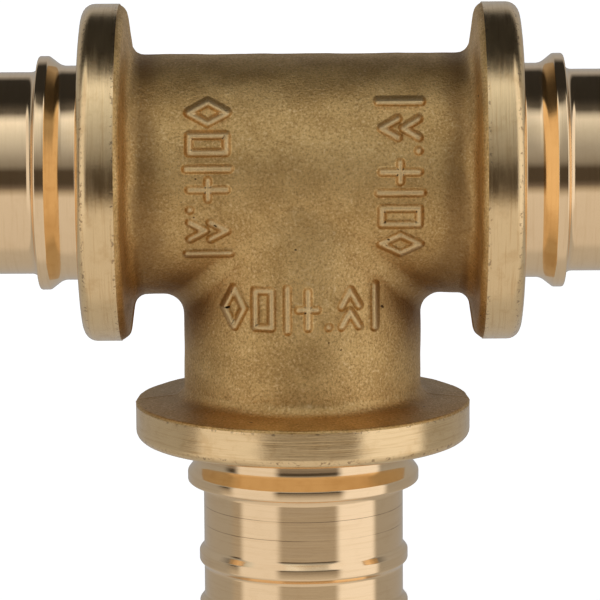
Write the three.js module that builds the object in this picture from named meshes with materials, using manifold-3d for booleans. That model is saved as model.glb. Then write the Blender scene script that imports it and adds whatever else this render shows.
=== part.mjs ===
// Equal tee for axial press joints on 25 mm plastic pipe: one hot brass forging with three turned ports.
//
// The run lies along X and the branch points down -Z. The origin is the centre of the branch mouth,
// so the tee stands on the end of its branch spigot. Units are millimetres, +Z is up.
//
// The fitting is a single piece of brass. It is divided where one machining operation ends and the
// next begins: the forged body, and at each port a turned collar, a neck with its stop ring, and a
// spigot. Neighbours meet face to face.

import * as THREE from "three";
import { mergeVertices } from "three/addons/utils/BufferGeometryUtils.js";
import Module from "manifold-3d";

const wasm = await Module();
wasm.setup();

// ---------- driving dimensions ----------

const SEGMENTS = 40;                 // facets round every turned surface

const BORE_RADIUS = 8.0;

// Each arm: its forged tube, how far its collar's outer face is from the crossing, how much of the
// collar is turned, how deep the collar is at the tube, and the rounding of the face's outer edge.
const RUN = { tube: 11.9, face: 21.64, rim: 3.72, depth: 4.98, edge: { drop: 1.3, reach: 1.45 } };
const BRANCH = { tube: 11.8, face: 26.87, rim: 3.6, depth: 4.37, edge: { drop: 1.0, reach: 1.0 } };

const COLLAR_RADIUS = 16.77;
const BACK_FILLET = 0.9;             // where the forged back runs into the tube
const BACK_EDGE = 0.35;              // how far the forged back's outer edge is broken
const BACK_DRAFT = 0.15;             // how far the back leans outward, from the fillet to its outer edge
const ROUND_MIDDLE = 1 - Math.SQRT1_2;   // from each side of a quarter round to its middle, over its radius

const NECK_RADIUS = 10.66;
const SEAT_INNER_RADIUS = 11.1;      // inside edge of the ring that a sleeve's end can rest on
const NECK_LENGTH = 2.05;
const STOP_RING_RADIUS = 11.63;
const STOP_CONE_LENGTH = 1.25;       // the neck rises to the stop ring over this length
const STOP_RING_END = 4.36;          // from the outer face to the far flank of the stop ring
const STOP_RING_CHAMFER = 0.25;

const LAND_RADIUS = 10.04;
const GRIP_RADIUS = 10.52;
const GRIP_START = 10.85;            // from the outer face to the first grip ring
const GRIP_PITCH = 5.2;
const GRIP_COUNT = 3;
const GRIP_RISE = 0.6;
const GRIP_CREST = 0.98;
const GRIP_FALL = 0.55;
const SPIGOT_LENGTH = 26.5;          // from the outer face to the mouth
const LEAD_IN = { drop: 0.75, length: 1.8 };
const MOUTH_CHAMFER = 0.4;

const CROSSING_HEIGHT = BRANCH.face + SPIGOT_LENGTH;

// ---------- materials ----------

const forgedBrass = new THREE.MeshStandardMaterial({ color: 0x8a6b35, roughness: 0.5, metalness: 1.0 });
const turnedBrass = new THREE.MeshStandardMaterial({ color: 0xb8934f, roughness: 0.32, metalness: 1.0 });
const polishedBrass = new THREE.MeshStandardMaterial({ color: 0xc9a76a, roughness: 0.18, metalness: 1.0 });

// ---------- solids ----------

/** A turned solid about +Y, from [radius, height] points that go up the outside and down the inside. */
function turned(profile) {
  const points = profile.map(([radius, height]) => new THREE.Vector2(radius, height));
  points.push(points[0].clone());
  return new THREE.LatheGeometry(points, SEGMENTS);
}

/** A solid rod about +Y, from [radius, height] points that go up the outside. */
function rod(profile) {
  const bottom = [0, profile[0][1]];
  const top = [0, profile.at(-1)[1]];
  const points = [bottom, ...profile, top].map(([radius, height]) => new THREE.Vector2(radius, height));
  return new THREE.LatheGeometry(points, SEGMENTS);
}

/** The manifold-3d solid of a closed geometry. */
function toSolid(geometry) {
  const bare = geometry.clone();
  bare.deleteAttribute("normal");
  bare.deleteAttribute("uv");
  const merged = mergeVertices(bare, 1e-5);
  return new wasm.Manifold(new wasm.Mesh({
    numProp: 3,
    vertProperties: new Float32Array(merged.attributes.position.array),
    triVerts: new Uint32Array(merged.index.array),
  }));
}

/** The geometry of a manifold-3d solid. */
function toGeometry(solid) {
  const mesh = solid.getMesh();
  const geometry = new THREE.BufferGeometry();
  geometry.setAttribute("position", new THREE.BufferAttribute(new Float32Array(mesh.vertProperties), 3));
  geometry.setIndex(new THREE.BufferAttribute(new Uint32Array(mesh.triVerts), 1));
  geometry.computeVertexNormals();
  return geometry;
}

/** A named part of the tee. */
function part(name, geometry, material) {
  const mesh = new THREE.Mesh(geometry, material);
  mesh.name = name;
  return mesh;
}

// ---------- the forged body ----------

/** Outline of one forged arm, from the tube to the plane where the turned rim starts. */
function armOutline(arm) {
  const back = arm.face - arm.depth;
  return [
    [arm.tube, back - BACK_FILLET],
    [arm.tube + ROUND_MIDDLE * BACK_FILLET, back - ROUND_MIDDLE * BACK_FILLET],
    [arm.tube + BACK_FILLET, back],
    [COLLAR_RADIUS - BACK_EDGE, back + BACK_DRAFT],
    [COLLAR_RADIUS, back + BACK_DRAFT + BACK_EDGE],
    [COLLAR_RADIUS, arm.face - arm.rim],
  ];
}

/** The run, solid, with a forged collar back at each end, along X through the crossing. */
function runForging() {
  const right = armOutline(RUN);
  const left = right.map(([radius, height]) => [radius, -height]).reverse();
  return rod([...left, ...right]).rotateZ(-Math.PI / 2);
}

/** The branch, solid, from the crossing down to its collar back. */
function branchForging() {
  return rod([[BRANCH.tube, 0], ...armOutline(BRANCH)]).rotateX(-Math.PI / 2);
}

/** The forged tee, bored through the run and up the branch. */
function forgedBody() {
  const forging = toSolid(runForging()).add(toSolid(branchForging()));
  const runBore = rod([[BORE_RADIUS, -RUN.face], [BORE_RADIUS, RUN.face]]).rotateZ(-Math.PI / 2);
  const branchBore = rod([[BORE_RADIUS, 0], [BORE_RADIUS, BRANCH.face]]).rotateX(-Math.PI / 2);
  const bored = forging.subtract(toSolid(runBore)).subtract(toSolid(branchBore));
  return part("forged_body", toGeometry(bored), forgedBrass);
}

// ---------- one turned port ----------

/** The turned rim of an arm's collar, a disc round the bore. */
function collar(name, { face, rim, edge }) {
  return part(name, turned([
    [BORE_RADIUS, face - rim],
    [COLLAR_RADIUS, face - rim],
    [COLLAR_RADIUS, face - edge.reach],
    [COLLAR_RADIUS - ROUND_MIDDLE * edge.drop, face - ROUND_MIDDLE * edge.reach],
    [COLLAR_RADIUS - edge.drop, face],
    [SEAT_INNER_RADIUS, face],
    [NECK_RADIUS, face],
    [BORE_RADIUS, face],
  ]), turnedBrass);
}

/** The neck and the stop ring that holds the pressed sleeve. */
function neck(name, face) {
  const end = face + STOP_RING_END;
  const cone = face + NECK_LENGTH;
  return part(name, turned([
    [BORE_RADIUS, face],
    [NECK_RADIUS, face],
    [NECK_RADIUS, cone],
    [STOP_RING_RADIUS, cone + STOP_CONE_LENGTH],
    [STOP_RING_RADIUS, end - STOP_RING_CHAMFER],
    [STOP_RING_RADIUS - STOP_RING_CHAMFER, end],
    [LAND_RADIUS, end],
    [BORE_RADIUS, end],
  ]), turnedBrass);
}

/** Outline of one grip ring that starts at the given distance from the collar's face. */
function gripRing(face, start) {
  const foot = face + start;
  return [
    [LAND_RADIUS, foot],
    [GRIP_RADIUS, foot + GRIP_RISE],
    [GRIP_RADIUS, foot + GRIP_RISE + GRIP_CREST],
    [LAND_RADIUS, foot + GRIP_RISE + GRIP_CREST + GRIP_FALL],
  ];
}

/** The spigot that the pipe is expanded over, with its grip rings and lead-in. */
function spigot(name, face) {
  const mouth = face + SPIGOT_LENGTH;
  const rings = Array.from({ length: GRIP_COUNT }, (_, i) => gripRing(face, GRIP_START + i * GRIP_PITCH)).flat();
  return part(name, turned([
    [BORE_RADIUS, face + STOP_RING_END],
    [LAND_RADIUS, face + STOP_RING_END],
    ...rings,
    [LAND_RADIUS, mouth - LEAD_IN.length],
    [LAND_RADIUS - LEAD_IN.drop, mouth],
    [BORE_RADIUS + MOUTH_CHAMFER, mouth],
    [BORE_RADIUS, mouth - MOUTH_CHAMFER],
  ]), polishedBrass);
}

/** A whole port along +Y for one arm, its name in front of its parts' names. */
function port(name, arm) {
  const group = new THREE.Group();
  group.add(collar(`${name}_collar`, arm), neck(`${name}_neck`, arm.face), spigot(`${name}_spigot`, arm.face));
  return group;
}

// ---------- the tee ----------

/** The forged body with its three ports, the crossing at its height over the branch mouth. */
function tee() {
  const leftPort = port("left", RUN);
  leftPort.rotation.z = Math.PI / 2;
  const rightPort = port("right", RUN);
  rightPort.rotation.z = -Math.PI / 2;
  const branchPort = port("branch", BRANCH);
  branchPort.rotation.x = -Math.PI / 2;

  const group = new THREE.Group();
  group.add(forgedBody(), leftPort, rightPort, branchPort);
  group.position.z = CROSSING_HEIGHT;
  return group;
}

export default tee();
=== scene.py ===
"""The looks of a brass equal tee for axial press joints.

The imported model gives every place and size. The forged body is one smooth forging with raised die
marks, and each port carries a turned collar, a neck with its stop ring, and a spigot with grip rings.
Everything is in metres; the profiles and the forging's surface are worked out in millimetres.
"""

import logging
import math
from dataclasses import dataclass, field, replace
from enum import Enum

import bmesh
import bpy
import numpy as np
from mathutils import Matrix, Vector


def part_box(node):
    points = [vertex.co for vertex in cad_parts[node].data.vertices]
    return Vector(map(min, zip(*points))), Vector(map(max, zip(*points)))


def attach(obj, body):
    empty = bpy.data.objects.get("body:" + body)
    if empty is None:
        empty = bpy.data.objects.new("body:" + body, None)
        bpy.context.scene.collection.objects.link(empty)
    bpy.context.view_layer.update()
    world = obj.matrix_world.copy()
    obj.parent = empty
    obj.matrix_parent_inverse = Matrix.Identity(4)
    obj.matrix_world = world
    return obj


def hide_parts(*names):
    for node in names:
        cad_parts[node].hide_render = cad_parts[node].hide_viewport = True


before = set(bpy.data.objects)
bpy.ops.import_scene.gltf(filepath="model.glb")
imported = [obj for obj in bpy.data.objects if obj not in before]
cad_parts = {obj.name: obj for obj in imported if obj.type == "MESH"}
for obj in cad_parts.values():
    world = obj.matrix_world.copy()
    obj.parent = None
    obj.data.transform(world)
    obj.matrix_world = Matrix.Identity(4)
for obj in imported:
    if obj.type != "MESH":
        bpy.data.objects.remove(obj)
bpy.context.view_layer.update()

BODY = "root"
MM = 0.001
LOG = logging.getLogger("tee")


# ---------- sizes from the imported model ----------


class Port(Enum):
    """The three ports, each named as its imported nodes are."""

    LEFT = "left"
    RIGHT = "right"
    BRANCH = "branch"

    @property
    def outward(self) -> Vector:
        """The direction that the port faces."""
        return {
            Port.LEFT: Vector((-1.0, 0.0, 0.0)),
            Port.RIGHT: Vector((1.0, 0.0, 0.0)),
            Port.BRANCH: Vector((0.0, 0.0, -1.0)),
        }[self]


@dataclass(frozen=True)
class TeeSizes:
    """The tee's main sizes, in millimetres from the crossing of its axes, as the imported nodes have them."""

    crossing_height: float
    run_face: float
    branch_face: float
    run_rim: float
    branch_rim: float
    collar_radius: float
    stop_ring_end: float
    spigot_length: float

    @classmethod
    def from_frame(cls) -> "TeeSizes":
        """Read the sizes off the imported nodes' boxes."""
        low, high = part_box("right_collar")
        _, neck_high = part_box("right_neck")
        _, spigot_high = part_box("right_spigot")
        branch_low, branch_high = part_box("branch_collar")
        crossing = (low.z + high.z) / 2
        return cls(
            crossing_height=crossing / MM,
            run_face=high.x / MM,
            branch_face=(crossing - branch_low.z) / MM,
            run_rim=(high.x - low.x) / MM,
            branch_rim=(branch_high.z - branch_low.z) / MM,
            collar_radius=(high.z - low.z) / 2 / MM,
            stop_ring_end=(neck_high.x - high.x) / MM,
            spigot_length=(spigot_high.x - high.x) / MM,
        )

    def face(self, port: Port) -> float:
        """Distance from the crossing to a port's collar face."""
        return self.branch_face if port is Port.BRANCH else self.run_face

    def rim(self, port: Port) -> float:
        """Width of the turned part of a port's collar."""
        return self.branch_rim if port is Port.BRANCH else self.run_rim

    @property
    def crossing(self) -> Vector:
        """The crossing of the axes, in metres."""
        return Vector((0.0, 0.0, self.crossing_height * MM))


# ---------- node materials ----------


Colour = tuple[float, float, float, float]
WHITE: Colour = (1.0, 1.0, 1.0, 1.0)
NOISE_SPAN = (0.3, 0.7)   # most of a noise pattern's values lie between these


@dataclass(frozen=True)
class Noise:
    """A noise pattern: its frequency, its octaves, and how strong the fine ones are."""

    scale: float
    detail: float
    rough: float = 0.5


@dataclass(frozen=True)
class Veil:
    """How a pattern covers a finish: its value where the cover starts and where it is full, and how full."""

    start: float
    full: float
    amount: float = 1.0


class Shader:
    """A node material under construction, with a Principled surface."""

    def __init__(self, name: str) -> None:
        """Start a material.

        Args:
            name: the material's name.
        """
        self.material = bpy.data.materials.new(name)
        self.material.use_nodes = True
        self.tree = self.material.node_tree
        self.surface = self.tree.nodes["Principled BSDF"]
        self.place = self.node("ShaderNodeTexCoord").outputs["Object"]

    def node(self, kind: str, **settings: object) -> bpy.types.Node:
        """Add a node.

        Args:
            kind: the node's type name.
            settings: its properties and their values.

        Returns:
            The new node.
        """
        made = self.tree.nodes.new(kind)
        for name, value in settings.items():
            setattr(made, name, value)
        return made

    def feed(self, socket: bpy.types.NodeSocket, value: object) -> None:
        """Link an output into a socket, or set the socket's own value."""
        if isinstance(value, bpy.types.NodeSocket):
            self.tree.links.new(value, socket)
        else:
            socket.default_value = value

    def math(self, operation: str, first: object, second: object = 0.0) -> bpy.types.NodeSocket:
        """One Math node on two numbers or outputs."""
        made = self.node("ShaderNodeMath", operation=operation)
        self.feed(made.inputs[0], first)
        self.feed(made.inputs[1], second)
        return made.outputs[0]

    def vector(self, operation: str, first: object, second: object) -> bpy.types.NodeSocket:
        """One Vector Math node on two vectors or outputs."""
        made = self.node("ShaderNodeVectorMath", operation=operation)
        self.feed(made.inputs[0], first)
        self.feed(made.inputs[1], second)
        return made.outputs[0]

    def gain(self, colour: object, amount: object) -> bpy.types.NodeSocket:
        """A colour multiplied by a number."""
        made = self.node("ShaderNodeVectorMath", operation="SCALE")
        self.feed(made.inputs[0], colour)
        self.feed(made.inputs["Scale"], amount)
        return made.outputs[0]

    def scaled_place(self, per_mm: tuple[float, float, float]) -> bpy.types.NodeSocket:
        """Object coordinates multiplied by a pattern's counts per millimetre along each axis."""
        return self.vector("MULTIPLY", self.place, tuple(n / MM for n in per_mm))

    def cloud(self, place: object, noise: Noise) -> bpy.types.NodeSocket:
        """Noise from 0 to 1 over the given coordinates."""
        made = self.node("ShaderNodeTexNoise")
        self.feed(made.inputs["Vector"], place)
        made.inputs["Scale"].default_value = noise.scale
        made.inputs["Detail"].default_value = noise.detail
        made.inputs["Roughness"].default_value = noise.rough
        return made.outputs["Fac"]

    def ramp(
        self, value: object, low: float, high: float, start: float = 0.0, end: float = 1.0
    ) -> bpy.types.NodeSocket:
        """A smooth step from start, where the value is low, to end, where it is high."""
        made = self.node("ShaderNodeMapRange", interpolation_type="SMOOTHSTEP")
        for index, number in enumerate((value, low, high, start, end)):
            self.feed(made.inputs[index], number)
        return made.outputs[0]

    def cover(self, pattern: object, veil: Veil) -> bpy.types.NodeSocket:
        """How much of a veil each point of a pattern has."""
        return self.ramp(pattern, veil.start, veil.full, 0.0, veil.amount)

    def blend(self, amount: object, first: object, second: object) -> bpy.types.NodeSocket:
        """Mix two colours."""
        made = self.node("ShaderNodeMix", data_type="RGBA")
        self.feed(made.inputs["Factor"], amount)
        self.feed(made.inputs["A"], first)
        self.feed(made.inputs["B"], second)
        return made.outputs["Result"]

    def relief(self, height: object, depth_mm: float, normal: object = None) -> bpy.types.NodeSocket:
        """A bump of the given depth in millimetres, on top of another bump if one is given."""
        made = self.node("ShaderNodeBump")
        made.inputs["Strength"].default_value = 1.0
        made.inputs["Distance"].default_value = depth_mm * MM
        self.feed(made.inputs["Height"], height)
        if normal is not None:
            self.feed(made.inputs["Normal"], normal)
        return made.outputs["Normal"]

    def finish(self, **sockets: object) -> bpy.types.Material:
        """Feed the surface's sockets by name, with underscores for spaces, and give the material."""
        for name, value in sockets.items():
            self.feed(self.surface.inputs[name.replace("_", " ")], value)
        return self.material


@dataclass(frozen=True)
class ForgedFinish:
    """Hot forged and blasted brass: a matt grain, browned with oxide and painted shade in the inside corners.
    """

    bright: Colour = (0.77, 0.505, 0.20, 1.0)
    dull: Colour = (0.62, 0.385, 0.14, 1.0)
    oxide_and_shade: Colour = (0.27, 0.145, 0.05, 1.0)
    fleck_and_highlight: Colour = (1.0, 0.76, 0.42, 1.0)
    pit: Colour = (0.12, 0.065, 0.025, 1.0)
    patches: Noise = Noise(0.3, 3.0)
    mottle: Noise = Noise(1.6, 3.0, 0.6)
    grain: Noise = Noise(4.2, 3.0, 0.7)
    pits: Noise = Noise(1.3, 0.0)
    bright_patches: Veil = Veil(0.35, 0.65)
    dull_mottle: Veil = Veil(0.56, 0.34, 0.22)
    dark_grain: Veil = Veil(0.52, 0.32, 0.5)
    bright_grain: Veil = Veil(0.52, 0.72, 0.6)
    # How the oxide and the painted shade cover the forging.
    browned_and_shaded: Veil = Veil(0.05, 1.0, 0.72)
    pitted: Veil = Veil(0.14, 0.11)
    uneven_browning_and_shade: tuple[float, ...] = (0.25, 0.7, 0.6, 1.2)
    # Strength of the painted highlight on the die marks' tops.
    painted_mark_highlight: float = 0.5
    grain_depth: float = 0.06
    mottle_share: float = 0.8
    smoothest: float = 0.42
    roughest: float = 0.53

    def material(self) -> bpy.types.Material:
        """Build the material. Its oxide and painted shade, and its painted mark highlights, follow the
        piece's attributes.
        """
        s = Shader("forged_brass")
        place = s.scaled_place((1.0, 1.0, 1.0))
        patches = s.cloud(place, self.patches)
        mottle = s.cloud(place, self.mottle)
        grain = s.cloud(place, self.grain)

        tone = s.blend(s.cover(patches, self.bright_patches), self.dull, self.bright)
        tone = s.blend(s.cover(mottle, self.dull_mottle), tone, self.dull)
        tone = s.blend(s.cover(grain, self.dark_grain), tone, self.oxide_and_shade)
        tone = s.blend(s.cover(grain, self.bright_grain), tone, self.fleck_and_highlight)
        # Oxide and painted shade: darker brown in the inside corners, beside the flanges and under the run.
        attribute = s.node("ShaderNodeAttribute", attribute_name="oxide_and_shade")
        uneven = s.ramp(patches, *self.uneven_browning_and_shade)
        browned_and_shaded = s.math("MULTIPLY", attribute.outputs["Fac"], uneven)
        tone = s.blend(s.cover(browned_and_shaded, self.browned_and_shaded), tone, self.oxide_and_shade)
        # Painted highlight: the die marks' tops are lightened with the fleck colour.
        painted_shine = s.node("ShaderNodeAttribute", attribute_name="painted_mark_highlight")
        tone = s.blend(s.math("MULTIPLY", painted_shine.outputs["Fac"], self.painted_mark_highlight), tone, self.fleck_and_highlight)
        pits = s.cover(s.cloud(place, self.pits), self.pitted)
        tone = s.blend(pits, tone, self.pit)

        rough = s.ramp(grain, *NOISE_SPAN, self.roughest, self.smoothest)
        height = s.math("SUBTRACT", grain, pits)
        wide = s.relief(mottle, self.grain_depth * self.mottle_share)
        return s.finish(
            Base_Color=tone, Metallic=1.0, Roughness=rough, Normal=s.relief(height, self.grain_depth, wide)
        )


@dataclass(frozen=True)
class TurnedFinish:
    """Turned brass: fine tool lines round a port's axis, which draw its highlights out along the axis."""

    name: str
    colour: Colour
    stained: Colour
    roughness: float
    anisotropy: float
    line_per_mm: float
    line_depth: float
    line_tone: float
    stain_amount: float
    grooves: tuple[float, ...] = ()
    nicked_edges: tuple[float, ...] = ()
    face_polish: float = 1.0
    nick: Colour = (0.13, 0.06, 0.025, 1.0)
    groove_width: float = 0.055
    groove_core: float = 0.3
    round_per_mm: float = 0.13
    streak_per_mm: float = 1.3
    streak_round_per_mm: float = 0.16
    tool: Noise = Noise(1.0, 3.0, 0.65)
    clouds: Noise = Noise(0.6, 4.0, 0.65)
    dents: Noise = Noise(2.4, 2.0, 0.6)
    stained_clouds: tuple[float, float] = (0.48, 0.75)
    dark_lines: tuple[float, float] = (0.52, 0.30)
    groove_breaks: tuple[float, ...] = (0.38, 0.56, 0.1, 0.55)
    face_zone: tuple[float, float] = (-0.2, -0.05)
    marks: Noise = Noise(0.9, 0.0)
    marked: Veil = Veil(0.10, 0.08)
    nick_reach: Veil = Veil(0.3, 0.05)
    nick_dents: Veil = Veil(0.55, 0.64, 0.5)
    dent_share: float = 0.35
    smooth_streak: float = 0.75
    rough_streak: float = 1.35

    def material(self, port: Port, sizes: TeeSizes) -> bpy.types.Material:
        """Build the material for one port.

        Args:
            port: the port whose axis the tool lines go round.
            sizes: the tee's sizes, which place the port's collar face.

        Returns:
            The material.
        """
        along = Vector(abs(n) for n in port.outward)
        across = Vector((1.0, 1.0, 1.0)) - along
        s = Shader(f"{self.name}_{port.value}")
        from_crossing = s.vector("SUBTRACT", s.place, tuple(sizes.crossing))
        spoke = s.node("ShaderNodeVectorMath", operation="NORMALIZE")
        s.feed(spoke.inputs[0], s.vector("MULTIPLY", from_crossing, tuple(across)))
        grain_way = s.vector("ADD", spoke.outputs[0], tuple(along))
        reach = s.node("ShaderNodeVectorMath", operation="DOT_PRODUCT")
        s.feed(reach.inputs[0], from_crossing)
        s.feed(reach.inputs[1], tuple(port.outward / MM))
        past_face = s.math("SUBTRACT", reach.outputs["Value"], sizes.face(port))

        lines = s.scaled_place(
            tuple(a * self.line_per_mm + c * self.round_per_mm for a, c in zip(along, across))
        )
        bands = s.scaled_place(
            tuple(a * self.streak_per_mm + c * self.streak_round_per_mm for a, c in zip(along, across))
        )
        tool = s.cloud(lines, self.tool)
        streaks = s.cloud(bands, self.tool)
        even = s.scaled_place((1.0, 1.0, 1.0))
        cloud = s.cloud(even, self.clouds)
        dents = s.cloud(even, self.dents)

        tone = s.blend(s.ramp(cloud, *self.stained_clouds, 0.0, self.stain_amount), self.colour, self.stained)
        tone = s.blend(s.ramp(tool, *self.dark_lines, 0.0, self.line_tone), tone, self.stained)
        marked = s.cover(s.cloud(even, self.marks), self.marked)
        for groove in self.grooves:
            off = s.math("ABSOLUTE", s.math("SUBTRACT", past_face, groove))
            line = s.ramp(off, self.groove_width, self.groove_width * self.groove_core)
            broken = s.ramp(streaks, *self.groove_breaks)
            marked = s.math("MAXIMUM", marked, s.math("MULTIPLY", line, broken))
        for edge in self.nicked_edges:
            off = s.math("ABSOLUTE", s.math("SUBTRACT", past_face, edge))
            beside = s.math("MULTIPLY", s.cover(off, self.nick_reach), s.cover(dents, self.nick_dents))
            marked = s.math("MAXIMUM", marked, beside)
        tone = s.blend(marked, tone, self.nick)
        smooth, coarse = self.roughness * self.smooth_streak, self.roughness * self.rough_streak
        rough = s.ramp(streaks, *NOISE_SPAN, smooth, coarse)
        rough = s.math("MULTIPLY", rough, s.ramp(past_face, *self.face_zone, 1.0, self.face_polish))
        height = s.math("SUBTRACT", s.math("ADD", tool, s.math("MULTIPLY", dents, self.dent_share)), marked)
        return s.finish(
            Base_Color=tone,
            Metallic=1.0,
            Roughness=rough,
            Anisotropic=self.anisotropy,
            Tangent=grain_way,
            Normal=s.relief(height, self.line_depth),
        )


# ---------- the forged body ----------


def rounded_union(first: np.ndarray, second: np.ndarray, radius: object) -> np.ndarray:
    """Distance to two joined shapes, with a fillet of that radius between them."""
    inner = np.hypot(np.maximum(radius - first, 0.0), np.maximum(radius - second, 0.0))
    return np.maximum(np.minimum(first, second), radius) - inner


def rounded_overlap(first: np.ndarray, second: np.ndarray, radius: float) -> np.ndarray:
    """Distance to what two shapes share, with its edge rounded to that radius."""
    outer = np.hypot(np.maximum(radius + first, 0.0), np.maximum(radius + second, 0.0))
    return np.minimum(np.maximum(first, second), -radius) + outer


def smooth_step(value: np.ndarray, low: float, high: float) -> np.ndarray:
    """0 below low, 1 above high, smooth between."""
    t = np.clip((value - low) / (high - low), 0.0, 1.0)
    return t * t * (3.0 - 2.0 * t)


def bell(offset: np.ndarray, width: float) -> np.ndarray:
    """1 where the offset is 0, and less on both sides, about a third at the width."""
    return np.exp(-((offset / width) ** 2))


class Glyph(Enum):
    """Shapes of the raised die marks: strokes as (x0, y0, x1, y1) in millimetres about the glyph's middle."""

    SQUARE = (
        (-0.8, -1.8, 0.8, -1.8),
        (0.8, -1.8, 0.8, 1.8),
        (0.8, 1.8, -0.8, 1.8),
        (-0.8, 1.8, -0.8, -1.8),
    )
    CROSS = ((-0.9, 0.0, 0.9, 0.0), (0.0, -1.8, 0.0, 1.8))
    BAR = ((0.0, -2.1, 0.0, 2.1),)
    DIAMOND = (
        (0.0, -1.9, 0.95, 0.0),
        (0.95, 0.0, 0.0, 1.9),
        (0.0, 1.9, -0.95, 0.0),
        (-0.95, 0.0, 0.0, -1.9),
    )
    DOT = ((0.0, -1.8, 0.0, -1.75),)
    CHEVRONS = (
        (-0.85, -1.8, 0.0, -0.3),
        (0.0, -0.3, 0.85, -1.8),
        (-0.85, 0.2, 0.0, 1.8),
        (0.0, 1.8, 0.85, 0.2),
    )


@dataclass(frozen=True)
class DieMark:
    """A line of raised glyphs on the front, drawn flat in X and Z and carried back along Y to the skin."""

    x: float
    z: float
    turn: float
    height: float = 0.5
    half_stroke: float = 0.55
    line: tuple[tuple[Glyph, float], ...] = (
        (Glyph.DIAMOND, -6.95),
        (Glyph.SQUARE, -4.1),
        (Glyph.BAR, -1.75),
        (Glyph.CROSS, 0.25),
        (Glyph.DOT, 2.25),
        (Glyph.CHEVRONS, 4.35),
        (Glyph.BAR, 6.75),
    )
    half_length: float = 8.6
    half_width: float = 3.2

    def local(self, x: np.ndarray, z: np.ndarray) -> tuple[np.ndarray, np.ndarray]:
        """Places along and across the line of the mark."""
        angle = math.radians(self.turn)
        dx, dz = x - self.x, z - self.z
        return dx * math.cos(angle) + dz * math.sin(angle), dz * math.cos(angle) - dx * math.sin(angle)

    def covers(self, x: np.ndarray, z: np.ndarray) -> np.ndarray:
        """Which places lie on the mark's patch."""
        along, across = self.local(x, z)
        return (np.abs(along) < self.half_length) & (np.abs(across) < self.half_width)

    def relief(self, x: np.ndarray, z: np.ndarray) -> np.ndarray:
        """How far the mark stands off the forging."""
        covered = self.covers(x, z)
        along, across = self.local(x[covered], z[covered])
        nearest = np.full(along.shape, self.half_stroke)
        for glyph, middle in self.line:
            for x0, y0, x1, y1 in glyph.value:
                dx, dy = x1 - x0, y1 - y0
                px, py = along - middle - x0, across - y0
                t = np.clip((px * dx + py * dy) / max(dx * dx + dy * dy, 1e-9), 0.0, 1.0)
                nearest = np.minimum(nearest, np.hypot(px - t * dx, py - t * dy))
        stands = np.zeros(x.shape)
        stands[covered] = self.height * (1.0 - (nearest / self.half_stroke) ** 2) ** 2
        return stands


@dataclass(frozen=True)
class Arm:
    """One arm of the forging: its tube, and its collar's back: depth, outer rounding, draft and fillet."""

    tube_radius: float
    back_depth: float
    back_edge: float
    back_draft: float
    back_fillet: float


@dataclass(frozen=True)
class Flash:
    """The trimmed flash where the dies met: a low ridge, fuller in the corners under the run."""

    half_width: float = 0.32
    height: float = 0.06
    corner_height: float = 0.45
    corner_inset: float = 0.3
    corner_width: float = 1.6
    under_tube: tuple[float, float] = (-1.0, 0.5)
    above_branch_face: tuple[float, float] = (8.0, 12.0)


@dataclass(frozen=True)
class BrowningAndShade:
    """Where oxide and painted shade brown the forging: the width of each brown zone, its place and how strong
    it is.
    """

    crotch_width: float = 4.2
    flange_inset: float = 1.2
    flange_width: float = 1.9
    flange_fade: tuple[float, float] = (-0.6, -0.15)
    flange: float = 0.8
    branch_back_rise: float = 0.3
    branch_back_width: float = 0.8
    branch_back: float = 0.35
    middle_drop: float = 4.0
    middle_width: float = 4.5
    middle: float = 0.24
    side_start: float = 0.75
    side_width: float = 2.0
    side: float = 0.25


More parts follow.
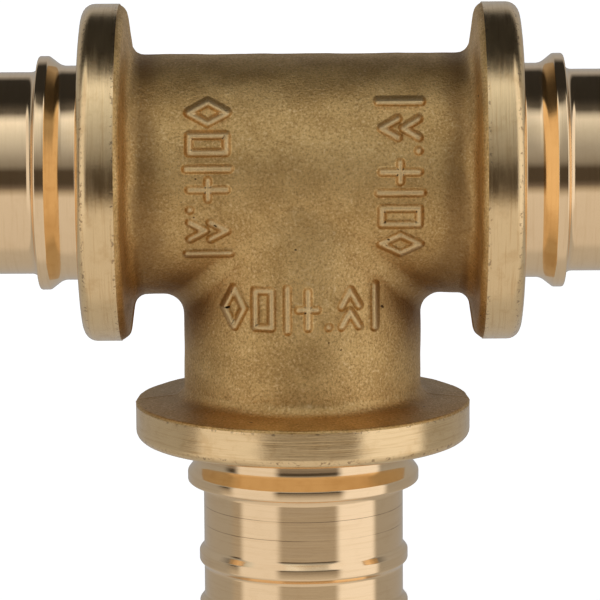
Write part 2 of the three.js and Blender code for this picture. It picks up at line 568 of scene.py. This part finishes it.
@dataclass
class ForgedBody:
    """The forging: run tube, branch tube, the backs of the three collars, and the raised die marks."""

    sizes: TeeSizes
    bore_radius: float = 8.0
    run: Arm = Arm(tube_radius=11.92, back_depth=4.98, back_edge=1.0, back_draft=0.14, back_fillet=1.15)
    branch: Arm = Arm(tube_radius=11.8, back_depth=4.37, back_edge=0.2, back_draft=0.1, back_fillet=1.15)
    run_sag: float = 0.2
    # Towards the front the run's fillets grow, and its collars' backs move outward next to the tube.
    front_zone: tuple[float, float] = (4.0, 11.0)
    front_fillet: float = 0.5
    front_shift: float = 0.45
    crotch_fillet: float = 2.1
    bore_edge: float = 0.4
    grid: float = 0.4
    spare: float = 1.2
    facets: int = 96
    slope_step: float = 0.01
    flattest_slope: float = 0.25
    longest_move: float = 0.6
    mark_divisions: int = 2
    mark_off_bore: float = 1.5
    highlighted_tops: tuple[float, float] = (0.35, 0.9)
    relaxings: int = 3
    relaxing: float = 0.5
    last_rounds: int = 5
    flash: Flash = Flash()
    browning_and_shade: BrowningAndShade = BrowningAndShade()
    swells: tuple[tuple[float, float, float, float], ...] = (
        (0.9, 0.5, -0.6, 0.018),
        (-0.5, 0.8, 1.1, 0.015),
        (1.9, -1.2, 1.4, 0.006),
        (-1.6, 2.1, -2.0, 0.005),
        (2.8, 1.7, 2.5, 0.003),
    )
    marks: tuple[DieMark, ...] = (
        DieMark(x=0.35, z=-12.0, turn=0.0),
        DieMark(x=-9.0, z=0.1, turn=-90.0),
        DieMark(x=9.6, z=1.2, turn=90.0),
    )
    finish: ForgedFinish = field(default_factory=ForgedFinish)

    def _arm(
        self, arm: Arm, along: np.ndarray, tube: np.ndarray, collar: np.ndarray, face: object, fillet: object
    ) -> np.ndarray:
        """Distance to one arm: a tube that runs into a flange with a drafted back.

        Args:
            arm: the arm's own sizes.
            along: how far each point is along the arm.
            tube: how far it is outside the tube.
            collar: how far it is outside the collar's rim.
            face: how far along the collar's face is, one number or one for each point.
            fillet: radius between the tube and the back.

        Returns:
            One distance for each point.
        """
        back = (face - arm.back_depth - along + arm.back_draft * tube) / math.hypot(1.0, arm.back_draft)
        return rounded_union(tube, rounded_overlap(back, collar, arm.back_edge), fillet)

    def _parting_line(self, p: np.ndarray) -> np.ndarray:
        """Height of the trimmed flash where the dies met, fuller in the corners under the run."""
        x, y, z = p.T
        flash = self.flash
        from_back = np.abs(x) - self.sizes.run_face + self.run.back_depth + flash.corner_inset
        corner = bell(from_back, flash.corner_width)
        below = smooth_step(-z, *(self.run.tube_radius + n for n in flash.under_tube))
        above_branch_back = smooth_step(z, *(-self.sizes.branch_face + n for n in flash.above_branch_face))
        ridge = flash.height + flash.corner_height * corner * below * above_branch_back
        return ridge * bell(y, flash.half_width)

    def _relief(self, p: np.ndarray) -> np.ndarray:
        """How far the skin stands off its plain shape: swells, the parting line and the die marks."""
        x, y, z = p.T
        height = self._parting_line(p)
        for along_x, along_y, along_z, swell in self.swells:
            height = height + swell * np.sin(along_x * x + along_y * y + along_z * z)
        for mark in self.marks:
            height = height + np.where(y < 0.0, mark.relief(x, z), 0.0)
        return height

    def _bore(self, p: np.ndarray) -> np.ndarray:
        """Distance to the bored-out space, positive in the metal."""
        x, y, z = p.T
        branch = np.maximum(np.hypot(x, y) - self.bore_radius, z)
        return rounded_union(np.hypot(y, z) - self.bore_radius, branch, self.bore_edge)

    def _distance(self, p: np.ndarray, dressed: bool) -> np.ndarray:
        """Distance from points to the forging, positive outside.

        Args:
            p: points in millimetres from the crossing.
            dressed: whether the skin has its relief.

        Returns:
            One distance for each point.
        """
        x, y, z = p.T
        run_axis, branch_axis = np.hypot(y, z), np.hypot(x, y)
        run_tube = np.hypot(y, z + self.run_sag) - self.run.tube_radius
        branch_tube = branch_axis - self.branch.tube_radius
        run_collar = run_axis - self.sizes.collar_radius
        branch_collar = branch_axis - self.sizes.collar_radius
        front = smooth_step(-y, *self.front_zone)
        fillet = self.run.back_fillet + self.front_fillet * front
        inner = np.clip(run_collar / (self.run.tube_radius - self.sizes.collar_radius), 0.0, 1.0)
        run_face = self.sizes.run_face + self.front_shift * front * inner
        run = self._arm(self.run, np.abs(x), run_tube, run_collar, run_face, fillet)
        branch = self._arm(
            self.branch, -z, branch_tube, branch_collar, self.sizes.branch_face, self.branch.back_fillet
        )
        meeting = np.clip(y * y / np.maximum(run_axis * branch_axis, 1e-6), 0.0, 1.0)
        skin = rounded_union(run, np.maximum(branch, z), self.crotch_fillet * (1.0 - meeting))
        if dressed:
            skin = skin - self._relief(p)
        return np.maximum(skin, -self._bore(p))

    def _slope(self, p: np.ndarray, dressed: bool) -> np.ndarray:
        """The distance's gradient at each point, which points out of the metal."""
        step = self.slope_step
        slopes = []
        for shift in np.eye(3) * step:
            rise = self._distance(p + shift, dressed) - self._distance(p - shift, dressed)
            slopes.append(rise / (2 * step))
        return np.stack(slopes, axis=1)

    def _settle(self, p: np.ndarray, dressed: bool, rounds: int = 3) -> np.ndarray:
        """Move points along the surface's normals until they lie on it."""
        for _ in range(rounds):
            slope = self._slope(p, dressed)
            size = np.maximum((slope**2).sum(axis=1), self.flattest_slope)
            move = np.clip(self._distance(p, dressed) / size, -self.longest_move, self.longest_move)
            p = p - slope * move[:, None]
        return p

    def _blank(self) -> bpy.types.Object:
        """A plain bored tee, a little longer than the forging at each port, as even small squares."""
        bm = bmesh.new()
        for port in Port:
            arm = self.branch if port is Port.BRANCH else self.run
            face = self.sizes.face(port)
            end = face - self.sizes.rim(port) + self.spare
            self._rod(bm, port, arm.tube_radius, -1.0 if port is Port.BRANCH else 0.0, end)
            self._rod(bm, port, self.sizes.collar_radius, face - arm.back_depth, end)
        blank = new_piece("forged_blank", bm, self.sizes.crossing)
        cutter_bm = bmesh.new()
        self._rod(cutter_bm, Port.RIGHT, self.bore_radius, -2 * self.sizes.run_face, 2 * self.sizes.run_face)
        self._rod(cutter_bm, Port.BRANCH, self.bore_radius, 0.0, 2 * self.sizes.branch_face)
        cutter = new_piece("bore_cutter", cutter_bm, self.sizes.crossing)
        for name, kind in (("join", "REMESH"), ("bore", "BOOLEAN"), ("even", "REMESH")):
            modifier = blank.modifiers.new(name, kind)
            if kind == "REMESH":
                modifier.mode = "VOXEL"
                modifier.voxel_size = self.grid * MM
            else:
                modifier.object = cutter
                modifier.operation = "DIFFERENCE"
                modifier.use_self = True
        evaluated = blank.evaluated_get(bpy.context.evaluated_depsgraph_get())
        settled = bpy.data.meshes.new_from_object(evaluated)
        blank.modifiers.clear()
        blank.data = settled
        bpy.data.objects.remove(cutter)
        return blank

    def _rod(self, bm: bmesh.types.BMesh, port: Port, radius: float, start: float, end: float) -> None:
        """Add a closed cylinder along a port's axis, in millimetres from the crossing."""
        middle = port.outward * ((start + end) / 2)
        turn = port.outward.to_track_quat("Z", "Y").to_matrix().to_4x4()
        bmesh.ops.create_cone(
            bm, cap_ends=True, segments=self.facets, radius1=radius, radius2=radius, depth=end - start,
            matrix=Matrix.Translation(middle) @ turn,
        )

    def _places(self, points: list[Vector]) -> np.ndarray:
        """Points in metres as millimetres from the crossing."""
        crossing = np.array([0.0, 0.0, self.sizes.crossing_height])
        return np.array([tuple(point) for point in points]) / MM - crossing

    def _move(self, bm: bmesh.types.BMesh, p: np.ndarray) -> None:
        """Put a mesh's vertices at places in millimetres from the crossing."""
        for vertex, place in zip(bm.verts, p.tolist()):
            vertex.co = self.sizes.crossing + Vector(place) * MM

    def _refine(self, bm: bmesh.types.BMesh) -> None:
        """Divide the skin's squares under the marks."""
        for _ in range(self.mark_divisions):
            p = self._places([face.calc_center_median() for face in bm.faces])
            x, y, z = p.T
            marked = np.zeros(len(p), bool)
            for mark in self.marks:
                marked |= mark.covers(x, z)
            marked &= (y < 0.0) & (self._bore(p) > self.mark_off_bore)
            edges = {edge for face, wanted in zip(bm.faces, marked) if wanted for edge in face.edges}
            bmesh.ops.subdivide_edges(bm, edges=list(edges), cuts=1, use_grid_fill=True)

    def _trim(self, bm: bmesh.types.BMesh) -> None:
        """Cut each arm square where its turned rim starts, and close the cut."""
        for port in Port:
            plane = self.sizes.crossing + port.outward * ((self.sizes.face(port) - self.sizes.rim(port)) * MM)
            everything = [*bm.verts, *bm.edges, *bm.faces]
            cut = bmesh.ops.bisect_plane(
                bm, geom=everything, dist=1e-7, plane_co=plane, plane_no=port.outward, clear_outer=True
            )
            rim = [e for e in cut["geom_cut"] if isinstance(e, bmesh.types.BMEdge)]
            bmesh.ops.bridge_loops(bm, edges=rim)

    def _oxide_and_shade(self, p: np.ndarray) -> np.ndarray:
        """How browned each point is, by oxide and painted shade: most in the corners beside the branch, some
        beside the flanges.
        """
        x, y, z = p.T
        brown_and_shade = self.browning_and_shade
        from_crotch = np.hypot(np.abs(x) - self.run.tube_radius, z + self.run.tube_radius)
        crotch = bell(from_crotch, brown_and_shade.crotch_width)
        from_flange = np.abs(x) - self.sizes.run_face + self.run.back_depth + brown_and_shade.flange_inset
        off_tube = np.hypot(y, z) - self.run.tube_radius
        flange = bell(from_flange, brown_and_shade.flange_width) * smooth_step(-off_tube, *brown_and_shade.flange_fade)
        from_back = z + self.sizes.branch_face - self.branch.back_depth - brown_and_shade.branch_back_rise
        branch_back = bell(from_back, brown_and_shade.branch_back_width)
        # Painted shade: a band under the run's middle, and the sides below the run beside the branch.
        middle = bell(z + brown_and_shade.middle_drop, brown_and_shade.middle_width)
        past_side = np.abs(x) - brown_and_shade.side_start * self.branch.tube_radius
        side = smooth_step(past_side, 0.0, brown_and_shade.side_width) * (z < -self.run.tube_radius)
        run = crotch + brown_and_shade.flange * flange
        return np.clip(
            run + brown_and_shade.branch_back * branch_back + brown_and_shade.middle * middle + brown_and_shade.side * side, 0.0, 1.0
        )

    def _painted_mark_highlight(self, p: np.ndarray) -> np.ndarray:
        """How much painted highlight each point has: the tops of the die marks, 0 to 1."""
        x, y, z = p.T
        stands = sum(mark.relief(x, z) / mark.height for mark in self.marks)
        return np.where(y < 0.0, smooth_step(stands, *self.highlighted_tops), 0.0)

    def build(self) -> bpy.types.Object:
        """Build the forging and dress it."""
        piece = self._blank()
        bm = bmesh.new()
        bm.from_mesh(piece.data)
        self._refine(bm)
        for _ in range(self.relaxings):
            self._move(bm, self._settle(self._places([v.co for v in bm.verts]), dressed=False))
            bmesh.ops.smooth_vert(
                bm, verts=bm.verts, factor=self.relaxing, use_axis_x=True, use_axis_y=True, use_axis_z=True
            )
        plain = self._places([v.co for v in bm.verts])
        self._move(bm, self._settle(plain, dressed=True, rounds=self.last_rounds))
        self._trim(bm)
        bmesh.ops.recalc_face_normals(bm, faces=bm.faces)
        bm.to_mesh(piece.data)
        bm.free()
        p = self._places([v.co for v in piece.data.vertices])
        # Oxide with painted shade, and the painted highlight on the die marks' tops, as point attributes.
        for name, values in (("oxide_and_shade", self._oxide_and_shade(p)), ("painted_mark_highlight", self._painted_mark_highlight(p))):
            attribute = piece.data.attributes.new(name, "FLOAT", "POINT")
            attribute.data.foreach_set("value", values.astype(np.float32))
        piece.data.shade_smooth()
        slope = self._slope(p, dressed=True)
        normals = slope / np.linalg.norm(slope, axis=1, keepdims=True)
        piece.data.normals_split_custom_set_from_vertices(normals)
        piece.name = "forged_tee_body"
        piece.data.materials.append(self.finish.material())
        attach(piece, BODY)
        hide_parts("forged_body")
        return piece


# ---------- the turned ports ----------


def new_piece(name: str, bm: bmesh.types.BMesh, origin: Vector) -> bpy.types.Object:
    """Make an object of a bmesh that is in millimetres about a point, and free the bmesh.

    Args:
        name: the object's name.
        bm: the shape.
        origin: the point, in metres.

    Returns:
        The object, at the origin, with its place in its mesh.
    """
    bmesh.ops.scale(bm, vec=(MM, MM, MM), verts=bm.verts)
    bmesh.ops.translate(bm, vec=origin, verts=bm.verts)
    mesh = bpy.data.meshes.new(name)
    bm.to_mesh(mesh)
    bm.free()
    piece = bpy.data.objects.new(name, mesh)
    bpy.context.scene.collection.objects.link(piece)
    return piece


FLAT_WEIGHT = 60


def shade(piece: bpy.types.Object, angle: float) -> None:
    """Shade a piece smooth, with edges over the angle in degrees kept sharp, and flats kept flat."""
    piece.data.shade_smooth()
    piece.data.set_sharp_from_angle(angle=math.radians(angle))
    weighted = piece.modifiers.new("flats", "WEIGHTED_NORMAL")
    weighted.keep_sharp = True
    weighted.weight = FLAT_WEIGHT


@dataclass(frozen=True)
class Corner:
    """A corner of a turned outline: its distance along the axis, its radius, and its own rounding."""

    along: float
    radius: float
    rounding: float = 0.0

    @property
    def point(self) -> Vector:
        """The corner as a flat vector."""
        return Vector((self.along, self.radius))


@dataclass
class Outline:
    """The closed outline of a turned piece, from corners in order round the metal."""

    corners: list[Corner]
    arc_steps: int = 6

    def points(self) -> list[Vector]:
        """The outline's points, with each rounded corner as an arc."""
        found = []
        count = len(self.corners)
        for i, corner in enumerate(self.corners):
            before, after = self.corners[i - 1].point, self.corners[(i + 1) % count].point
            if corner.rounding <= 0.0:
                found.append(corner.point)
                continue
            to_before = (before - corner.point).normalized()
            to_after = (after - corner.point).normalized()
            half_angle = to_before.angle(to_after) / 2
            reach = corner.rounding / math.tan(half_angle)
            inward = (to_before + to_after).normalized()
            middle = corner.point + inward * (corner.rounding / math.sin(half_angle))
            start = corner.point + to_before * reach - middle
            sweep = (corner.point + to_after * reach - middle).angle_signed(start)
            for step in range(self.arc_steps + 1):
                turn = Matrix.Rotation(sweep * step / self.arc_steps, 2)
                found.append(middle + turn @ start)
        return found


@dataclass
class TurnedPort:
    """One port: the collar's turned rim, the neck with its stop ring, and the ringed spigot."""

    port: Port
    sizes: TeeSizes
    rim_finish: TurnedFinish
    spigot_finish: TurnedFinish
    steps: int = 192
    sharp_angle: float = 35.0
    bore_radius: float = 8.0
    run_face_edge: float = 1.3
    branch_face_edge: float = 1.0
    neck_radius: float = 10.66
    neck_root: float = 0.3
    neck_root_edge: float = 0.2
    neck_sweep: float = 1.4
    neck_length: float = 2.05
    cone_length: float = 1.25
    stop_ring_radius: float = 11.63
    stop_ring_near_edge: float = 0.4
    stop_ring_far_edge: float = 0.25
    land_radius: float = 10.04
    land_fillet: float = 0.8
    grip_radius: float = 10.52
    grip_start: float = 10.85
    grip_pitch: float = 5.2
    grip_rise: float = 0.6
    grip_crest: float = 0.98
    grip_fall: float = 0.55
    grip_count: int = 3
    grip_foot: float = 0.5
    grip_near_edge: float = 0.25
    grip_far_edge: float = 0.3
    lead_in_drop: float = 0.75
    lead_in_length: float = 1.8
    lead_in_edge: float = 2.0
    mouth_edge: float = 0.2
    mouth_chamfer: float = 0.4

    def _spin(self, name: str, outline: Outline) -> bpy.types.Object:
        """Spin an outline round the port's axis into a closed ring.

        Args:
            name: the piece's name.
            outline: corners whose distances are from the crossing.

        Returns:
            The piece.
        """
        outward = self.port.outward
        side = Vector((0.0, 1.0, 0.0))
        bm = bmesh.new()
        verts = [bm.verts.new(outward * p.x + side * p.y) for p in outline.points()]
        edges = [bm.edges.new((verts[i - 1], verts[i])) for i in range(len(verts))]
        bmesh.ops.spin(
            bm, geom=[*verts, *edges], cent=(0.0, 0.0, 0.0), axis=outward, dvec=(0.0, 0.0, 0.0),
            angle=2 * math.pi, steps=self.steps, use_merge=True, use_duplicate=False,
        )
        bmesh.ops.recalc_face_normals(bm, faces=bm.faces)
        return new_piece(name, bm, self.sizes.crossing)

    def _dress(
        self, piece: bpy.types.Object, node: str, material: bpy.types.Material
    ) -> bpy.types.Object:
        """Give a piece its material, shade it, parent it to the body and hide the node that it stands for."""
        piece.data.materials.append(material)
        shade(piece, self.sharp_angle)
        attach(piece, BODY)
        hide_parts(node)
        return piece

    def _rim(self, face: float) -> Outline:
        """The collar's turned rim."""
        back = face - self.sizes.rim(self.port)
        edge = self.branch_face_edge if self.port is Port.BRANCH else self.run_face_edge
        return Outline([
            Corner(back, self.bore_radius),
            Corner(back, self.sizes.collar_radius),
            Corner(face, self.sizes.collar_radius, edge),
            Corner(face, self.bore_radius),
        ])

    def _neck(self, face: float) -> Outline:
        """The neck and its sweep up to the stop ring."""
        end = face + self.sizes.stop_ring_end
        cone = face + self.neck_length
        return Outline([
            Corner(face, self.bore_radius),
            Corner(face, self.neck_radius + self.neck_root),
            Corner(face + self.neck_root, self.neck_radius, self.neck_root_edge),
            Corner(cone, self.neck_radius, self.neck_sweep),
            Corner(cone + self.cone_length, self.stop_ring_radius, self.stop_ring_near_edge),
            Corner(end, self.stop_ring_radius, self.stop_ring_far_edge),
            Corner(end, self.bore_radius),
        ])

    def _spigot(self, face: float) -> Outline:
        """The land with its grip rings, the lead-in and the mouth."""
        start = face + self.sizes.stop_ring_end
        mouth = face + self.sizes.spigot_length
        corners = [
            Corner(start, self.bore_radius),
            Corner(start, self.land_radius + self.land_fillet),
            Corner(start, self.land_radius, self.land_fillet),
        ]
        for i in range(self.grip_count):
            foot = face + self.grip_start + i * self.grip_pitch
            crest = foot + self.grip_rise
            fall = crest + self.grip_crest
            corners += [
                Corner(foot, self.land_radius, self.grip_foot),
                Corner(crest, self.grip_radius, self.grip_near_edge),
                Corner(fall, self.grip_radius, self.grip_far_edge),
                Corner(fall + self.grip_fall, self.land_radius, self.grip_foot),
            ]
        corners += [
            Corner(mouth - self.lead_in_length, self.land_radius, self.lead_in_edge),
            Corner(mouth, self.land_radius - self.lead_in_drop, self.mouth_edge),
            Corner(mouth, self.bore_radius + self.mouth_chamfer),
            Corner(mouth - self.mouth_chamfer, self.bore_radius),
        ]
        return Outline(corners)

    def build(self) -> list[bpy.types.Object]:
        """Build and dress the port's three pieces."""
        face = self.sizes.face(self.port)
        turned = self.rim_finish.material(self.port, self.sizes)
        bright = self.spigot_finish.material(self.port, self.sizes)
        name = self.port.value
        rim = self._spin(f"{name}_collar_rim", self._rim(face))
        ring = self._spin(f"{name}_stop_ring", self._neck(face))
        spigot = self._spin(f"{name}_ringed_spigot", self._spigot(face))
        return [
            self._dress(rim, f"{name}_collar", turned),
            self._dress(ring, f"{name}_neck", bright),
            self._dress(spigot, f"{name}_spigot", bright),
        ]


# ---------- the studio ----------


@dataclass(frozen=True)
class SideBox:
    """A tall soft box beside the camera: where it stands in degrees, and its light."""

    azimuth: float
    half_width: float
    low: float
    high: float
    light: Colour
    softness: float = 5.0
    foot_fade: float = 4.0
    head_fade: float = 2.0


@dataclass
class Studio:
    """A white sweep, soft light from all round with dark gaps, and the camera."""

    sizes: TeeSizes
    distance: float = 0.380
    elevation: float = 7.6
    azimuth: float = 0.17
    roll: float = -0.375
    lens: float = 228.85
    aim: tuple[float, float] = (-0.213, -12.99)
    front: tuple[tuple[float, Colour], ...] = (
        (-90.0, (0.62, 0.60, 0.59, 1.0)),
        (-19.0, (0.68, 0.66, 0.65, 1.0)),
        (-13.5, (0.42, 0.39, 0.345, 1.0)),
        (-9.0, (0.15, 0.13, 0.12, 1.0)),
        (-4.0, (0.07, 0.06, 0.05, 1.0)),
        (9.0, (0.07, 0.06, 0.05, 1.0)),
        (16.0, (0.25, 0.25, 0.25, 1.0)),
        (33.0, (0.42, 0.44, 0.46, 1.0)),
        (52.0, (0.65, 0.69, 0.72, 1.0)),
        (66.0, (0.88, 0.93, 0.99, 1.0)),
        (71.0, (0.66, 0.70, 0.74, 1.0)),
        (78.0, (0.10, 0.10, 0.10, 1.0)),
        (90.0, (0.035, 0.035, 0.035, 1.0)),
    )
    behind: tuple[tuple[float, Colour], ...] = (
        (-90.0, (0.50, 0.49, 0.48, 1.0)),
        (-45.0, (0.44, 0.44, 0.44, 1.0)),
        (-22.0, (0.40, 0.40, 0.40, 1.0)),
        (-8.0, (0.34, 0.34, 0.34, 1.0)),
        (8.0, (0.36, 0.37, 0.38, 1.0)),
        (28.0, (0.38, 0.39, 0.41, 1.0)),
        (41.0, (0.03, 0.03, 0.03, 1.0)),
        (90.0, (0.025, 0.025, 0.025, 1.0)),
    )
    boxes: tuple[SideBox, ...] = (
        SideBox(azimuth=-52.0, half_width=23.7, low=-38.0, high=78.0, light=(0.80, 0.79, 0.80, 1.0)),
        SideBox(azimuth=65.0, half_width=25.0, low=-38.0, high=78.0, light=(0.94, 0.95, 1.0, 1.0)),
    )
    # Higher up, the front light is stronger on the left and weaker on the right, by this share.
    left_lean: float = 0.16
    lean_from: float = 20.0
    lean_full: float = 35.0
    seam: float = 0.12
    floor_size: float = 6.0
    floor_colour: Colour = (0.9, 0.9, 0.9, 1.0)
    floor_roughness: float = 0.9
    floor_glow: float = 0.72

    def _sweep_of_light(self, s: "WorldShader", angle: object, stops: tuple) -> bpy.types.NodeSocket:
        """A ramp of light over elevation, from stops of an angle in degrees and a light."""
        ramp = s.node("ShaderNodeValToRGB")
        elements = ramp.color_ramp.elements
        while len(elements) < len(stops):
            elements.new(0.5)
        for element, (degrees, light) in zip(elements, stops):
            element.position = (degrees + 90.0) / 180.0
            element.color = light
        s.feed(ramp.inputs["Fac"], angle)
        return ramp.outputs["Color"]

    def light(self) -> None:
        """Light the set from the world: the front and back sweeps, and the two side boxes."""
        s = WorldShader("studio_light")
        to_x, to_y, to_z = s.direction
        elevation = s.math("ARCSINE", to_z)
        share = s.math("ADD", s.math("DIVIDE", elevation, math.pi), 0.5)
        azimuth = s.math("ARCTAN2", to_x, s.math("MULTIPLY", to_y, -1.0))
        front = self._sweep_of_light(s, share, self.front)
        upper = s.ramp(elevation, math.radians(self.lean_from), math.radians(self.lean_full))
        lean = s.ramp(to_x, -self.seam, self.seam, self.left_lean, -self.left_lean)
        front = s.gain(front, s.math("ADD", s.math("MULTIPLY", lean, upper), 1.0))
        behind = self._sweep_of_light(s, share, self.behind)
        glow = s.blend(s.ramp(to_y, -self.seam, self.seam), front, behind)
        for box in self.boxes:
            soft = math.radians(box.softness)
            off = s.math("ABSOLUTE", s.math("SUBTRACT", azimuth, math.radians(box.azimuth)))
            half = math.radians(box.half_width)
            beside = s.ramp(off, half + soft, half - soft)
            low, high = math.radians(box.low), math.radians(box.high)
            above = s.ramp(elevation, low, low + box.foot_fade * soft)
            below = s.ramp(elevation, high, high - box.head_fade * soft)
            tall = s.math("MULTIPLY", above, below)
            glow = s.blend(s.math("MULTIPLY", beside, tall), glow, box.light)
        s.finish(glow)

    def floor(self) -> None:
        """Lay a wide white floor that glows a little, so that shadows on it stay faint."""
        bm = bmesh.new()
        bmesh.ops.create_grid(bm, x_segments=1, y_segments=1, size=self.floor_size / MM)
        floor = new_piece("floor", bm, Vector((0.0, 0.0, 0.0)))
        s = Shader("white_floor")
        floor.data.materials.append(s.finish(
            Base_Color=self.floor_colour, Roughness=self.floor_roughness, Specular_IOR_Level=0.0,
            Emission_Color=WHITE, Emission_Strength=self.floor_glow,
        ))
        floor.visible_glossy = False

    def camera(self) -> None:
        """Set the long-lens camera in front of the tee, a little above it."""
        a, e, r = math.radians(self.azimuth), math.radians(self.elevation), math.radians(self.roll)
        back = Vector((math.sin(a) * math.cos(e), -math.cos(a) * math.cos(e), math.sin(e)))
        place = self.sizes.crossing + back * self.distance
        aim = self.sizes.crossing + Vector((self.aim[0] * MM, 0.0, self.aim[1] * MM))
        look = (place - aim).normalized()
        turn = look.to_track_quat("Z", "Y").to_matrix() @ Matrix.Rotation(r, 3, "Z")
        data = bpy.data.cameras.new("camera")
        data.lens = self.lens
        camera = bpy.data.objects.new("camera", data)
        camera.matrix_world = Matrix.Translation(place) @ turn.to_4x4()
        bpy.context.scene.collection.objects.link(camera)
        bpy.context.scene.camera = camera

    def set_up(self) -> None:
        """Make the camera, floor and light, and show colours as they are."""
        self.camera()
        self.floor()
        self.light()
        bpy.context.scene.view_settings.view_transform = "Standard"


class WorldShader(Shader):
    """The world's node tree under construction, white to the camera itself."""

    def __init__(self, name: str) -> None:
        """Start the world's shader."""
        world = bpy.data.worlds.new(name)
        world.use_nodes = True
        bpy.context.scene.world = world
        self.tree = world.node_tree
        self.background = self.tree.nodes["Background"]
        split = self.node("ShaderNodeSeparateXYZ")
        self.feed(split.inputs[0], self.node("ShaderNodeTexCoord").outputs["Generated"])
        self.direction = tuple(split.outputs)

    def finish(self, glow: bpy.types.NodeSocket) -> None:
        """Use the light for everything but what the camera sees straight."""
        seen = self.node("ShaderNodeLightPath").outputs["Is Camera Ray"]
        self.feed(self.background.inputs["Color"], self.blend(seen, glow, WHITE))


def report(pieces: list[bpy.types.Object]) -> None:
    """Log each piece's face count and size."""
    for piece in pieces:
        size = " x ".join(f"{n / MM:.2f}" for n in piece.dimensions)
        LOG.info("%s: %d faces, %s mm", piece.name, len(piece.data.polygons), size)


def main() -> None:
    """Build the tee and its studio."""
    logging.basicConfig(level=logging.INFO, format="%(name)s: %(message)s")
    sizes = TeeSizes.from_frame()
    Studio(sizes).set_up()
    rim_finish = TurnedFinish(
        name="turned_brass", colour=(0.91, 0.655, 0.35, 1.0), stained=(0.70, 0.45, 0.20, 1.0), roughness=0.2,
        anisotropy=0.55, line_per_mm=4.2, line_depth=0.013, line_tone=0.55, stain_amount=0.5,
        nicked_edges=(-3.6, -0.6), face_polish=0.4,
    )
    spigot_finish = TurnedFinish(
        name="polished_brass", colour=(0.95, 0.69, 0.41, 1.0), stained=(0.78, 0.53, 0.28, 1.0), roughness=0.1,
        anisotropy=0.6, line_per_mm=3.6, line_depth=0.0022, line_tone=0.3, stain_amount=0.2,
    )
    branch_finish = replace(spigot_finish, grooves=(6.66, 8.56))
    report([ForgedBody(sizes).build()])
    for port in Port:
        bright = branch_finish if port is Port.BRANCH else spigot_finish
        report(TurnedPort(port, sizes, rim_finish, bright).build())


if __name__ == "__main__":
    main()
